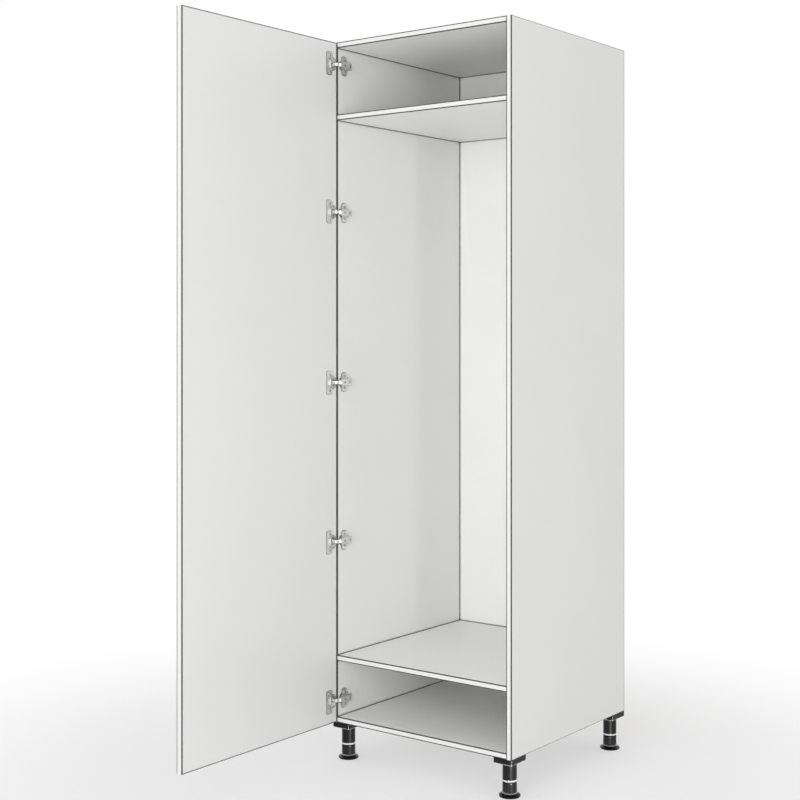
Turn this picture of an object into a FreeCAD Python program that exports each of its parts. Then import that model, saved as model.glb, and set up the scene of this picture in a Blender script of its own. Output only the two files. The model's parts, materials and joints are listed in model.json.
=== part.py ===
import FreeCAD, Part
import math
import os

from FreeCAD import Vector

# Tall cabinet for a built-in refrigerator, standing on four plinth feet, door open at a right angle.
# Millimetres. X runs from the hinge side to the free side, Y from front to back, Z up.
# The origin is on the floor, under the middle of the carcass front.

# Carcass
cabinet_width = 600.0
cabinet_depth = 600.0
carcass_height = 1920.0
board = 16.0
upper_compartment = 188.0
lower_compartment = 158.0
band = 1.0
band_radius = 0.8

# Back panel
back_thickness = 3.0
back_inset = 1.5
vent_width = 190.0
vent_height = 106.0
vent_corner = 10.0
vent_margin = 60.0
back_screw_radius = 1.75
back_screw_length = 16.0
back_screw_rows = 8
back_screw_end = 40.0
back_screw_x = 110.0

# Carcass joints: two cam fittings and two dowels at each end of each cross panel
joint_setback = 96.0
dowel_step = 64.0
dowel_radius = 4.0
dowel_in_panel = 20.0
dowel_in_side = 10.0
cam_radius = 7.5
cam_distance = 34.0
cam_skin = 3.5
bolt_radius = 3.0
bolt_thread_radius = 2.5
bolt_thread_length = 10.5
bolt_head_radius = 3.4
bolt_head_length = 3.0
bolt_neck_radius = 2.0
bolt_neck_length = 3.0
cam_recess = 8.0
joint_clearance = 0.05
hole_relief = 0.8

# Door
door_thickness = 19.0
door_reveal_side = 1.5
door_reveal_end = 2.0
door_gap = 3.2
door_open_degrees = 90.0

# Concealed hinges, heights from the carcass bottom or down from its top
hinge_from_top = (64.0, 480.0)
hinge_from_bottom = (512.0, 64.0)
pin_from_edge = 7.1
pin_depth = 7.4
pin_radius = 1.25
pin_length = 15.0
running_clearance = 0.05
knuckle_radius = 2.2
knuckle_height = 10.0

# Hinge cup
cup_radius = 17.5
cup_edge_distance = 3.0
cup_depth = 12.0
cup_wall = 0.8
cup_floor = 1.0
cup_clearance = 0.1
ear_gap = 0.3
ear_thickness = 2.3
ear_reach = 3.2
flange_thickness = 1.2
flange_height = 65.0
flange_width = 24.0
flange_offset = 12.5
flange_corner = 5.0
flange_rim = 2.0
cup_screw_spacing = 45.0
cup_screw_setback = 9.5
cup_screw_radius = 1.75
cup_screw_length = 10.0

# Hinge arm and its mounting plate
nose_gap = 1.8
nose_width = 5.0
nose_foot = 2.8
nose_inner_round = 0.9
arm_height = 20.0
arm_wall = 1.8
arm_lift = 11.0
arm_front = 2.0
arm_back = 47.0
plate_setback = 28.0
plate_wing_height = 52.0
plate_wing_width = 22.0
plate_thickness = 3.0
plate_corner = 6.0
plate_screw_spacing = 32.0
plate_screw_radius = 2.45
plate_screw_length = 14.0
plate_screw_head = 4.2
ridge_front = 11.0
ridge_back = 44.0
ridge_gap = 0.6
fixing_screw_setback = 39.0
adjusting_screw_setback = 19.0
arm_screw_radius = 2.5
arm_screw_bite = 7.0
arm_screw_head = 4.4

# Plinth feet
foot_height = 105.0
foot_plate_x = 56.0
foot_plate_y = 70.0
foot_plate_thickness = 15.0
foot_radius = 19.0
foot_neck_radius = 15.1
foot_neck_clearance = 0.1
neck_gap = 4.0
neck_engagement = 11.0
collar_length = 27.0
collar_shoulder = 5.0
collar_flutes = 18
flute_radius = 1.2
flute_depth = 0.7
base_radius = 28.0
base_height = 10.5
base_rim = 5.0
base_round = 2.0
base_gap = 2.5
stem_radius = 8.0
stem_length = 62.0
bead = 0.8
bead_height = 2.0
socket_roof = 3.0
socket_round = 1.0
foot_screw_radius = 2.0
foot_screw_margin = 7.5
foot_screw_bite = 10.0
foot_screw_seat = 6.0

# Screw heads
head_height = 1.8
slot_width = 1.2
slot_depth = 0.8
recess_span = 4.6
recess_depth = 0.9

# Derived places
left = -cabinet_width / 2
right = cabinet_width / 2
bottom = foot_height
top = foot_height + carcass_height
left_face = left + board
right_face = right - board
lower_shelf_z = bottom + board + lower_compartment
upper_shelf_z = top - 2 * board - upper_compartment
hinge_edge = left + door_reveal_side
door_width = cabinet_width - 2 * door_reveal_side
pin_x = hinge_edge + pin_from_edge
pin_y = -(door_gap + pin_depth)
web_inner = left_face + arm_lift
web_outer = web_inner + arm_wall
cup_from_edge = cup_edge_distance + cup_radius
hinge_heights = [top - drop for drop in hinge_from_top]
hinge_heights.append((bottom + top) / 2)
hinge_heights += [bottom + rise for rise in hinge_from_bottom]

# Distance from a square corner to the middle of its rounding, as a share of the radius
arc_share = 1 - math.sqrt(0.5)

X = Vector(1, 0, 0)
Y = Vector(0, 1, 0)
Z = Vector(0, 0, 1)


def block(x0, x1, y0, y1, z0, z1):
    return Part.makeBox(x1 - x0, y1 - y0, z1 - z0, Vector(x0, y0, z0))


def rod(radius, start, direction, length):
    return Part.makeCylinder(radius, length, start, direction)


def cone(radius_start, radius_end, start, direction, length):
    return Part.makeCone(radius_start, radius_end, length, start, direction)


def outline(corners, place):
    """Closed face through flat corners; a corner's third item is a point that bends the side after it."""
    edges = []
    for corner, following in zip(corners, corners[1:] + corners[:1]):
        start, end = place(*corner[:2]), place(*following[:2])
        if len(corner) == 2:
            edges.append(Part.makeLine(start, end))
        else:
            edges.append(Part.Arc(start, place(*corner[2]), end).toShape())
    return Part.Face(Part.Wire(edges))


def prism(corners, z0, z1):
    face = outline(corners, lambda x, y: Vector(x, y, z0))
    return face.extrude(Vector(0, 0, z1 - z0))


def turned(corners, x, y):
    """Solid of revolution about the vertical line through x, y, from (radius, height) corners."""
    solid = outline(corners, lambda r, z: Vector(r, 0, z)).revolve(Vector(0, 0, 0), Z, 360)
    solid.translate(Vector(x, y, 0))
    return solid


def rounded(shape, radius, picks):
    """Fillet the straight edges that pass the test picks(edge, its middle point)."""
    chosen = []
    for edge in shape.Edges:
        middle = edge.valueAt((edge.FirstParameter + edge.LastParameter) / 2)
        if isinstance(edge.Curve, Part.Line) and picks(edge, middle):
            chosen.append(edge)
    return shape.makeFillet(radius, chosen)


def along(edge, axis):
    start, end = edge.Vertexes[0].Point, edge.Vertexes[-1].Point
    return (end - start).normalize().cross(axis).Length < 1e-6


def cross_recess(face, direction, across):
    """Two crossing bars, cut into a screw head from the middle of its face."""
    other = direction.cross(across)
    return [
        bar(face, across, recess_span, other, slot_width, direction, recess_depth),
        bar(face, other, recess_span, across, slot_width, direction, recess_depth),
    ]


def pan_head_screw(radius, length, head_radius, start, direction, across):
    """Cross-recess screw: start is the seat under its head, direction the way it is driven."""
    shank = rod(radius, start, direction, length)
    head = rod(head_radius, start - direction * head_height, direction, head_height)
    bevel = head_height / 2
    head = head.common(
        cone(
            head_radius - bevel,
            head_radius + bevel,
            start - direction * head_height,
            direction,
            2 * bevel,
        )
    )
    screw = head.fuse(shank).removeSplitter()
    return screw.cut(cross_recess(start - direction * head_height, direction, across))


def bar(start, long_axis, length, wide_axis, width, deep_axis, depth):
    """Straight bar centred on start across its length and width, running from it along deep_axis."""
    half_long = long_axis * (length / 2)
    half_wide = wide_axis * (width / 2)
    corners = [
        start - half_long - half_wide,
        start + half_long - half_wide,
        start + half_long + half_wide,
        start - half_long + half_wide,
    ]
    face = Part.Face(Part.makePolygon(corners + corners[:1]))
    return face.extrude(deep_axis * depth)


def countersunk_screw(radius, length, start, direction, across):
    """Flat-head screw with a cross recess, flush at start and driven along direction."""
    head = cone(2 * radius - joint_clearance, radius, start, direction, radius)
    screw = head.fuse(rod(radius, start, direction, length)).removeSplitter()
    return screw.cut(cross_recess(start, direction, across))


def countersink(radius, start, direction, depth):
    clear = radius + joint_clearance
    hole = rod(clear, start, direction, depth)
    return hole.fuse(cone(2 * radius, clear, start, direction, radius))


def save(name, shape):
    os.makedirs("parts", exist_ok=True)
    shape.exportStep("parts/" + name + ".step")


def save_group(name, solids):
    save(name, Part.makeCompound(solids))


# Cross panels: name, underside height, and whether the cam bores open upwards
cross_panels = (
    ("top_panel", top - board, True),
    ("upper_shelf", upper_shelf_z, True),
    ("lower_shelf", lower_shelf_z, False),
    ("bottom_panel", bottom, False),
)
cam_lines = (joint_setback, cabinet_depth - joint_setback)
dowel_lines = (
    joint_setback + dowel_step,
    cabinet_depth - joint_setback - dowel_step,
)
ends = ((left_face, X), (right_face, -X))


def joint_holes_in_side(face_x, outward):
    """Blind holes in a side panel's inner face for every dowel and cam bolt."""
    holes = []
    for _, z, _ in cross_panels:
        middle = z + board / 2
        for y in dowel_lines:
            start = Vector(face_x, y, middle)
            depth = dowel_in_side + hole_relief
            holes.append(rod(dowel_radius + joint_clearance, start, outward, depth))
        for y in cam_lines:
            start = Vector(face_x, y, middle)
            depth = bolt_thread_length + hole_relief
            holes.append(
                rod(bolt_thread_radius + joint_clearance, start, outward, depth)
            )
    return holes


def joint_holes_in_cross(z, upwards):
    """Dowel, bolt and cam bores of one cross panel."""
    middle = z + board / 2
    holes = []
    for face_x, inward in ends:
        for y in dowel_lines:
            start = Vector(face_x, y, middle)
            depth = dowel_in_panel + hole_relief
            holes.append(rod(dowel_radius + joint_clearance, start, inward, depth))
        for y in cam_lines:
            start = Vector(face_x, y, middle)
            holes.append(rod(dowel_radius, start, inward, cam_distance))
            holes.append(cam_body(face_x, inward, y, z, upwards, cam_radius))
    return holes


def cam_body(face_x, inward, y, z, upwards, radius):
    """Plain cylinder of a cam or of its bore, from the open face of the panel."""
    depth = board - cam_skin
    open_z = z + board if upwards else z
    into = -Z if upwards else Z
    centre = Vector(face_x, y, open_z) + inward * cam_distance
    return rod(radius, centre, into, depth)


def cam_housing(face_x, inward, y, z, upwards):
    """Cam with a cross recess in its face and a pocket that takes the bolt's head."""
    middle = Vector(face_x, y, z + board / 2) + inward * cam_distance
    cam = cam_body(face_x, inward, y, z, upwards, cam_radius - joint_clearance)
    into = -Z if upwards else Z
    face = Vector(middle.x, middle.y, z + board if upwards else z)
    pocket = rod(
        bolt_head_radius + joint_clearance,
        middle - inward * cam_radius,
        inward,
        cam_radius + bolt_head_length / 2 + joint_clearance,
    )
    cuts = [
        bar(face, X, cam_recess, Y, slot_width, into, 2 * slot_depth),
        bar(face, Y, cam_recess, X, slot_width, into, 2 * slot_depth),
        pocket,
    ]
    return cam.cut(cuts)


def cam_bolt(face_x, inward, y, z):
    """Bolt screwed into the side panel, with a waist behind the head that the cam holds."""
    seat = Vector(face_x, y, z + board / 2)
    head_start = cam_distance - bolt_head_length / 2
    shank_length = head_start - bolt_neck_length
    thread = rod(bolt_thread_radius, seat, -inward, bolt_thread_length)
    shank = rod(bolt_radius, seat, inward, shank_length)
    neck = rod(bolt_neck_radius, seat, inward, head_start)
    head = rod(bolt_head_radius, seat + inward * head_start, inward, bolt_head_length)
    return thread.fuse([shank, neck, head]).removeSplitter()


def dowel(face_x, inward, y, z):
    length = dowel_in_side + dowel_in_panel
    start = Vector(face_x, y, z + board / 2) - inward * dowel_in_side
    pin = rod(dowel_radius, start, inward, length)
    rims = [edge for edge in pin.Edges if isinstance(edge.Curve, Part.Circle)]
    return pin.makeChamfer(dowel_radius / 4, rims)


def cross_panel(z, upwards):
    panel = block(left_face, right_face, band, cabinet_depth, z, z + board)
    cuts = joint_holes_in_cross(z, upwards)
    cuts += [
        rod(back_screw_radius + joint_clearance, start, -Y, back_bite + hole_relief)
        for start in cross_back_screws(z)
    ]
    if z == bottom:
        cuts += [
            rod(foot_screw_radius + joint_clearance, seat, Z, foot_screw_bite)
            for seat in foot_screw_seats()
        ]
    return panel.cut(cuts)


def side_panel(x0, face_x, outward):
    panel = block(x0, x0 + board, band, cabinet_depth, bottom, top)
    cuts = joint_holes_in_side(face_x, outward)
    cuts += [
        rod(back_screw_radius + joint_clearance, start, -Y, back_bite + hole_relief)
        for start in side_back_screws(x0 + board / 2)
    ]
    if face_x == left_face:
        cuts += [
            rod(
                plate_screw_radius + joint_clearance,
                seat,
                -X,
                plate_screw_length - plate_thickness,
            )
            for seat in plate_screw_seats(left_face)
        ]
    return panel.cut(cuts)


def front_band(x0, x1, z0, z1, long_axis):
    """Edge band on a panel's front edge, its two long outer arrises rounded."""
    strip = block(x0, x1, 0, band, z0, z1)
    return rounded(
        strip,
        band_radius,
        lambda edge, middle: along(edge, long_axis) and abs(middle.y) < 1e-6,
    )


# Back panel, screwed to the back edges of every carcass board
back_bite = back_screw_length - back_thickness


def side_back_screws(x):
    """Places on a side panel's back edge, evenly spread between the cross panels."""
    low = bottom + back_screw_end
    step = (carcass_height - 2 * back_screw_end) / (back_screw_rows - 1)
    return [Vector(x, cabinet_depth, low + step * n) for n in range(back_screw_rows)]


def cross_back_screws(z):
    return [
        Vector(x, cabinet_depth, z + board / 2) for x in (-back_screw_x, back_screw_x)
    ]


def all_back_screws():
    places = side_back_screws(left + board / 2) + side_back_screws(right - board / 2)
    for _, z, _ in cross_panels:
        places += cross_back_screws(z)
    return [place + Y * back_thickness for place in places]


def back_panel():
    """Thin board over the whole back, with a low and a high air opening in the appliance niche."""
    rear = cabinet_depth + back_thickness
    panel = block(
        left + back_inset,
        right - back_inset,
        cabinet_depth,
        rear,
        bottom + back_inset,
        top - back_inset,
    )
    cuts = [
        countersink(back_screw_radius, start, -Y, back_thickness)
        for start in all_back_screws()
    ]
    low = lower_shelf_z + board + vent_margin
    high = upper_shelf_z - vent_margin - vent_height
    for z in (low, high):
        vent = block(
            -vent_width / 2, vent_width / 2, cabinet_depth, rear, z, z + vent_height
        )
        cuts.append(
            rounded(vent, vent_corner, lambda edge, middle: along(edge, Y))
        )
    return panel.cut(cuts)


# Door pieces are modelled shut and then swung open about the hinge pins
door_face = -door_gap
door_front = door_face - door_thickness
door_low = bottom + door_reveal_end
door_high = top - door_reveal_end
door_free_edge = hinge_edge + door_width


def opened(shape):
    shape.rotate(Vector(pin_x, pin_y, 0), Z, -door_open_degrees)
    return shape


def at_door(from_edge, depth, z):
    """Point on the shut door: from_edge off its hinge edge, depth below its inner face."""
    return Vector(hinge_edge + from_edge, door_face - depth, z)


def cup_screw_seats():
    half = cup_screw_spacing / 2
    line = cup_from_edge + cup_screw_setback
    return [
        at_door(line, -flange_thickness, z + side * half)
        for z in hinge_heights
        for side in (-1, 1)
    ]


def door_panel():
    panel = block(
        hinge_edge + band,
        door_free_edge - band,
        door_front,
        door_face,
        door_low + band,
        door_high - band,
    )
    cuts = []
    for z in hinge_heights:
        bore = at_door(cup_from_edge, 0, z)
        cuts.append(rod(cup_radius, bore, -Y, cup_depth + cup_clearance))
    for seat in cup_screw_seats():
        cuts.append(
            rod(cup_screw_radius + joint_clearance, seat, -Y, cup_screw_length)
        )
    return opened(panel.cut(cuts))


def door_bands():
    """Four edge bands: the upright ones run the full height, the others fit between them."""
    strips = []
    for x, out_x in ((hinge_edge, hinge_edge), (door_free_edge - band, door_free_edge)):
        strip = block(x, x + band, door_front, door_face, door_low, door_high)
        strips.append(
            rounded(
                strip,
                band_radius,
                lambda edge, middle: along(edge, Z) and abs(middle.x - out_x) < 1e-6,
            )
        )
    for z, out_z in ((door_low, door_low), (door_high - band, door_high)):
        strip = block(
            hinge_edge + band, door_free_edge - band, door_front, door_face, z, z + band
        )
        strips.append(
            rounded(
                strip,
                band_radius,
                lambda edge, middle: along(edge, X) and abs(middle.z - out_z) < 1e-6,
            )
        )
    return [opened(strip) for strip in strips]


def hinge_cup(z):
    """Pressed cup let into the door: a rim notched for the neck, a screw flange, two pin ears."""
    outer = cup_radius - cup_clearance
    inner = cup_radius - cup_wall
    centre = at_door(cup_from_edge, 0, z)
    mouth = centre + Y * flange_thickness
    body = rod(outer, centre, -Y, cup_depth)
    rim = rod(outer + flange_rim, centre, Y, flange_thickness)
    notch = knuckle_height / 2 + nose_gap
    rim = rim.cut(
        block(
            hinge_edge,
            hinge_edge + pin_from_edge + knuckle_radius,
            centre.y,
            mouth.y,
            z - notch,
            z + notch,
        )
    )
    flange_x = centre.x + flange_offset - flange_width / 2
    flange = block(
        flange_x,
        flange_x + flange_width,
        centre.y,
        mouth.y,
        z - flange_height / 2,
        z + flange_height / 2,
    )
    flange = rounded(flange, flange_corner, lambda edge, middle: along(edge, Y))
    hollow = rod(inner, mouth, -Y, flange_thickness + cup_depth - cup_floor)
    cup = body.fuse([rim, flange]).cut(hollow)
    reach = at_door(pin_from_edge, pin_depth, z)
    room = rod(outer, centre, -Y, cup_depth)
    ear_start = knuckle_height / 2 + ear_gap
    ears = []
    for low in (z + ear_start, z - ear_start - ear_thickness):
        ear = block(
            reach.x - ear_reach,
            reach.x + ear_reach,
            centre.y - cup_depth + cup_floor / 2,
            reach.y + ear_reach,
            low,
            low + ear_thickness,
        )
        ears.append(ear.common(room))
    cup = cup.fuse(ears).removeSplitter()
    span = pin_length + 2 * ear_gap
    cuts = [rod(pin_radius, reach - Z * (span / 2), Z, span)]
    for seat in cup_screw_seats():
        cuts.append(
            rod(cup_screw_radius + joint_clearance, seat, -Y, flange_thickness)
        )
    return opened(cup.cut(cuts))


def hinge_pin(z):
    start = at_door(pin_from_edge, pin_depth, z) - Z * (pin_length / 2)
    return opened(rod(pin_radius, start, Z, pin_length))


def cup_screw(seat):
    screw = pan_head_screw(
        cup_screw_radius, cup_screw_length, 2 * cup_screw_radius, seat, -Y, X
    )
    return opened(screw)


# Hinge arms and mounting plates stay on the left side panel
def gooseneck(z):
    """Neck from the arm, out past the carcass front and back under the door's edge to the pin."""
    open_face = pin_x + pin_depth
    x0 = max(open_face, left_face) + nose_gap
    x1 = x0 + nose_width
    low = pin_y - knuckle_radius
    step = low + nose_foot
    outer_bend = nose_width * arc_share
    inner_bend = nose_inner_round * arc_share
    corners = [
        (pin_x, low),
        (x1 - nose_width, low, (x1 - outer_bend, low + outer_bend)),
        (x1, low + nose_width),
        (x1, -nose_gap / 2),
        (web_outer, arm_front),
        (web_outer, arm_front + nose_width),
        (web_inner, arm_front + nose_width),
        (web_inner, arm_front + nose_gap),
        (x0, nose_gap),
        (x0, step + nose_inner_round, (x0 - inner_bend, step + inner_bend)),
        (x0 - nose_inner_round, step),
        (pin_x, step),
    ]
    half = knuckle_height / 2
    neck = prism(corners, z - half, z + half)
    pin_base = Vector(pin_x, pin_y, z - half)
    neck = neck.fuse(rod(knuckle_radius, pin_base, Z, knuckle_height))
    bore = rod(pin_radius + running_clearance, pin_base, Z, knuckle_height)
    return neck.cut(bore)


def hinge_arm(z):
    """Channel-shaped arm, open towards the side panel, with the gooseneck at its front."""
    half = arm_height / 2
    clear = left_face + plate_thickness + ridge_gap
    channel = block(clear, web_outer, arm_front, arm_back, z - half, z + half)
    channel = rounded(
        channel,
        arm_wall,
        lambda edge, middle: along(edge, Y) and abs(middle.x - web_outer) < 1e-6,
    )
    inside = half - arm_wall
    channel = channel.cut(
        block(clear, web_inner, arm_front, arm_back, z - inside, z + inside)
    )
    slope = arm_lift - plate_thickness - ridge_gap
    front_cut = prism(
        [
            (clear, arm_front),
            (web_inner, arm_front),
            (clear, arm_front + slope),
        ],
        z - half,
        z + half,
    )
    arm = channel.cut(front_cut).fuse(gooseneck(z)).removeSplitter()
    fixing = Vector(web_inner, fixing_screw_setback, z)
    adjusting = Vector(web_inner, adjusting_screw_setback, z)
    bore = arm_screw_radius + joint_clearance
    return arm.cut([rod(bore, fixing, X, arm_wall), rod(bore, adjusting, X, arm_wall)])


def plate_screw_seats(x):
    half = plate_screw_spacing / 2
    return [
        Vector(x, plate_setback, z + side * half)
        for z in hinge_heights
        for side in (-1, 1)
    ]


def hinge_plate(z):
    """Cross-shaped plate: two wings screwed to the side panel and a ridge that carries the arm."""
    wings = block(
        left_face,
        left_face + plate_thickness,
        plate_setback - plate_wing_width / 2,
        plate_setback + plate_wing_width / 2,
        z - plate_wing_height / 2,
        z + plate_wing_height / 2,
    )
    wings = rounded(wings, plate_corner, lambda edge, middle: along(edge, X))
    half = arm_height / 2 - arm_wall - ridge_gap
    ridge = block(left_face, web_inner, ridge_front, ridge_back, z - half, z + half)
    plate = wings.fuse(ridge).removeSplitter()
    cuts = [
        rod(plate_screw_radius + joint_clearance, seat, X, plate_thickness)
        for seat in plate_screw_seats(left_face)
    ]
    cuts.append(
        rod(
            arm_screw_radius + joint_clearance,
            Vector(web_inner, fixing_screw_setback, z),
            -X,
            arm_screw_bite + hole_relief,
        )
    )
    return plate.cut(cuts)


def plate_screw(seat):
    start = seat + X * plate_thickness
    return pan_head_screw(
        plate_screw_radius,
        plate_screw_length - hole_relief,
        plate_screw_head,
        start,
        -X,
        Y,
    )


def fixing_screw(z):
    seat = Vector(web_outer, fixing_screw_setback, z)
    return pan_head_screw(
        arm_screw_radius, arm_wall + arm_screw_bite, arm_screw_head, seat, -X, Y
    )


def adjusting_screw(z):
    """Headless screw through the arm, its tip on the plate's ridge."""
    length = arm_wall + head_height
    end = Vector(web_inner + length, adjusting_screw_setback, z)
    screw = rod(arm_screw_radius, end, -X, length)
    slot = bar(end, Y, 2 * arm_screw_radius, Z, slot_width, -X, slot_depth)
    return screw.cut(slot)


# Plinth feet: name, side of the cabinet (-1 hinge side), end of the cabinet (-1 front)
feet = (
    ("front_left", -1, -1),
    ("front_right", 1, -1),
    ("back_left", -1, 1),
    ("back_right", 1, 1),
)
collar_low = base_height + base_gap
collar_high = collar_low + collar_length
sleeve_low = collar_high + neck_gap
neck_high = sleeve_low + neck_engagement
plate_low = foot_height - foot_plate_thickness


def foot_axis(side, end):
    x = side * (cabinet_width / 2 - foot_plate_x / 2)
    inset = foot_plate_y / 2
    return x, inset if end < 0 else cabinet_depth - inset


def foot_screw_places(side, end):
    """Four screws round one foot, clear of the side panel above its outer strip."""
    _, y = foot_axis(side, end)
    outer = cabinet_width / 2 - board - foot_screw_margin
    inner = cabinet_width / 2 - foot_plate_x + foot_screw_margin
    half = foot_plate_y / 2 - foot_screw_margin
    return [(side * px, y + sy * half) for px in (outer, inner) for sy in (-1, 1)]


def foot_screw_seats():
    return [
        Vector(x, y, bottom)
        for _, side, end in feet
        for x, y in foot_screw_places(side, end)
    ]


def foot_socket(side, end):
    """Moulded mounting plate with a sleeve below it that takes the collar's neck."""
    x, y = foot_axis(side, end)
    half_x, half_y = foot_plate_x / 2, foot_plate_y / 2
    plate = block(x - half_x, x + half_x, y - half_y, y + half_y, plate_low, bottom)
    plate = rounded(plate, socket_round, lambda edge, middle: middle.z < bottom - 1e-6)
    axis = Vector(x, y, sleeve_low)
    sleeve = rod(foot_radius, axis, Z, plate_low - sleeve_low + socket_roof)
    bore_radius = foot_neck_radius + foot_neck_clearance
    bore = rod(bore_radius, axis, Z, bottom - socket_roof - sleeve_low)
    groove_z = neck_high - 2 * bead_height
    groove = rod(
        bore_radius + bead,
        Vector(x, y, groove_z - foot_neck_clearance),
        Z,
        bead_height + 2 * foot_neck_clearance,
    )
    cuts = [bore, groove]
    for px, py in foot_screw_places(side, end):
        cuts.append(
            rod(
                foot_screw_radius + joint_clearance,
                Vector(px, py, plate_low),
                Z,
                foot_plate_thickness,
            )
        )
        cuts.append(
            rod(
                2 * foot_screw_radius + 2 * foot_neck_clearance,
                Vector(px, py, plate_low),
                Z,
                foot_plate_thickness - foot_screw_seat,
            )
        )
    return plate.fuse(sleeve).removeSplitter().cut(cuts)


def foot_screw(seat):
    start = seat - Z * foot_screw_seat
    return pan_head_screw(
        foot_screw_radius,
        foot_screw_seat + foot_screw_bite - hole_relief,
        2 * foot_screw_radius,
        start,
        Z,
        X,
    )


def foot_collar(side, end):
    """Fluted adjusting nut: its neck turns in the sleeve, held by a snap bead."""
    x, y = foot_axis(side, end)
    bore = stem_radius + foot_neck_clearance
    bead_low = neck_high - 2 * bead_height
    bead_radius = foot_neck_radius + bead - foot_neck_clearance
    shoulder_inset = (foot_radius - foot_neck_radius) * arc_share
    shoulder_drop = collar_shoulder * arc_share
    corners = [
        (bore, collar_low),
        (foot_radius, collar_low),
        (
            foot_radius,
            collar_high - collar_shoulder,
            (foot_radius - shoulder_inset, collar_high - shoulder_drop),
        ),
        (foot_neck_radius, collar_high),
        (foot_neck_radius, bead_low),
        (bead_radius, bead_low + bead_height / 4),
        (bead_radius, bead_low + 3 * bead_height / 4),
        (foot_neck_radius, bead_low + bead_height),
        (foot_neck_radius, neck_high),
        (bore, neck_high),
    ]
    solid = turned(corners, x, y)
    reach = foot_radius + flute_radius - flute_depth
    length = collar_length - collar_shoulder - 2 * flute_radius
    cuts = []
    for n in range(collar_flutes):
        angle = 2 * math.pi * (n + 0.5) / collar_flutes
        start = Vector(
            x + reach * math.cos(angle),
            y + reach * math.sin(angle),
            collar_low + flute_radius,
        )
        cuts.append(rod(flute_radius, start, Z, length))
    return solid.cut(cuts)


def foot_base(side, end):
    """Flared foot that stands on the floor, with the stem that rises through the collar."""
    x, y = foot_axis(side, end)
    stem_top = base_height + stem_length
    flare_inset = (base_radius - foot_radius) * arc_share
    flare_drop = (base_height - base_rim) * arc_share
    rim = base_round * arc_share
    corners = [
        (0, 0),
        (base_radius - base_round, 0, (base_radius - rim, rim)),
        (base_radius, base_round),
        (base_radius, base_rim, (foot_radius + flare_inset, base_rim + flare_drop)),
        (foot_radius, base_height),
        (stem_radius, base_height),
        (stem_radius, stem_top - base_round),
        (stem_radius - base_round, stem_top),
        (0, stem_top),
    ]
    return turned(corners, x, y)


# Carcass
save("left_side_panel", side_panel(left, left_face, -X))
save("right_side_panel", side_panel(right_face, right_face, X))
for panel_name, panel_z, panel_up in cross_panels:
    save(panel_name, cross_panel(panel_z, panel_up))
    save(
        panel_name + "_edge_band",
        front_band(left_face, right_face, panel_z, panel_z + board, X),
    )
save("left_side_edge_band", front_band(left, left_face, bottom, top, Z))
save("right_side_edge_band", front_band(right_face, right, bottom, top, Z))
save("back_panel", back_panel())
save_group(
    "back_panel_screws",
    [
        countersunk_screw(back_screw_radius, back_screw_length, start, -Y, X)
        for start in all_back_screws()
    ],
)

# Carcass joints
joint_ends = [
    (face_x, inward, z, upwards)
    for _, z, upwards in cross_panels
    for face_x, inward in ends
]
save_group(
    "cam_housings",
    [cam_housing(x, way, y, z, up) for x, way, z, up in joint_ends for y in cam_lines],
)
save_group(
    "cam_bolts", [cam_bolt(x, way, y, z) for x, way, z, _ in joint_ends for y in cam_lines]
)
save_group(
    "wood_dowels", [dowel(x, way, y, z) for x, way, z, _ in joint_ends for y in dowel_lines]
)

# Door and hinges
save("door_panel", door_panel())
save_group("door_edge_bands", door_bands())
for number, hinge_z in enumerate(hinge_heights, start=1):
    save("hinge_cup_%d" % number, hinge_cup(hinge_z))
    save("hinge_arm_%d" % number, hinge_arm(hinge_z))
    save("hinge_plate_%d" % number, hinge_plate(hinge_z))
save_group("hinge_pins", [hinge_pin(z) for z in hinge_heights])
save_group("cup_screws", [cup_screw(seat) for seat in cup_screw_seats()])
save_group("plate_screws", [plate_screw(seat) for seat in plate_screw_seats(left_face)])
save_group("arm_fixing_screws", [fixing_screw(z) for z in hinge_heights])
save_group("side_adjusting_screws", [adjusting_screw(z) for z in hinge_heights])

# Feet
for foot_name, side, end in feet:
    save("foot_socket_" + foot_name, foot_socket(side, end))
    save("foot_collar_" + foot_name, foot_collar(side, end))
    save("foot_base_" + foot_name, foot_base(side, end))
save_group("foot_screws", [foot_screw(seat) for seat in foot_screw_seats()])
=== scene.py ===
import json
import math

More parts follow.
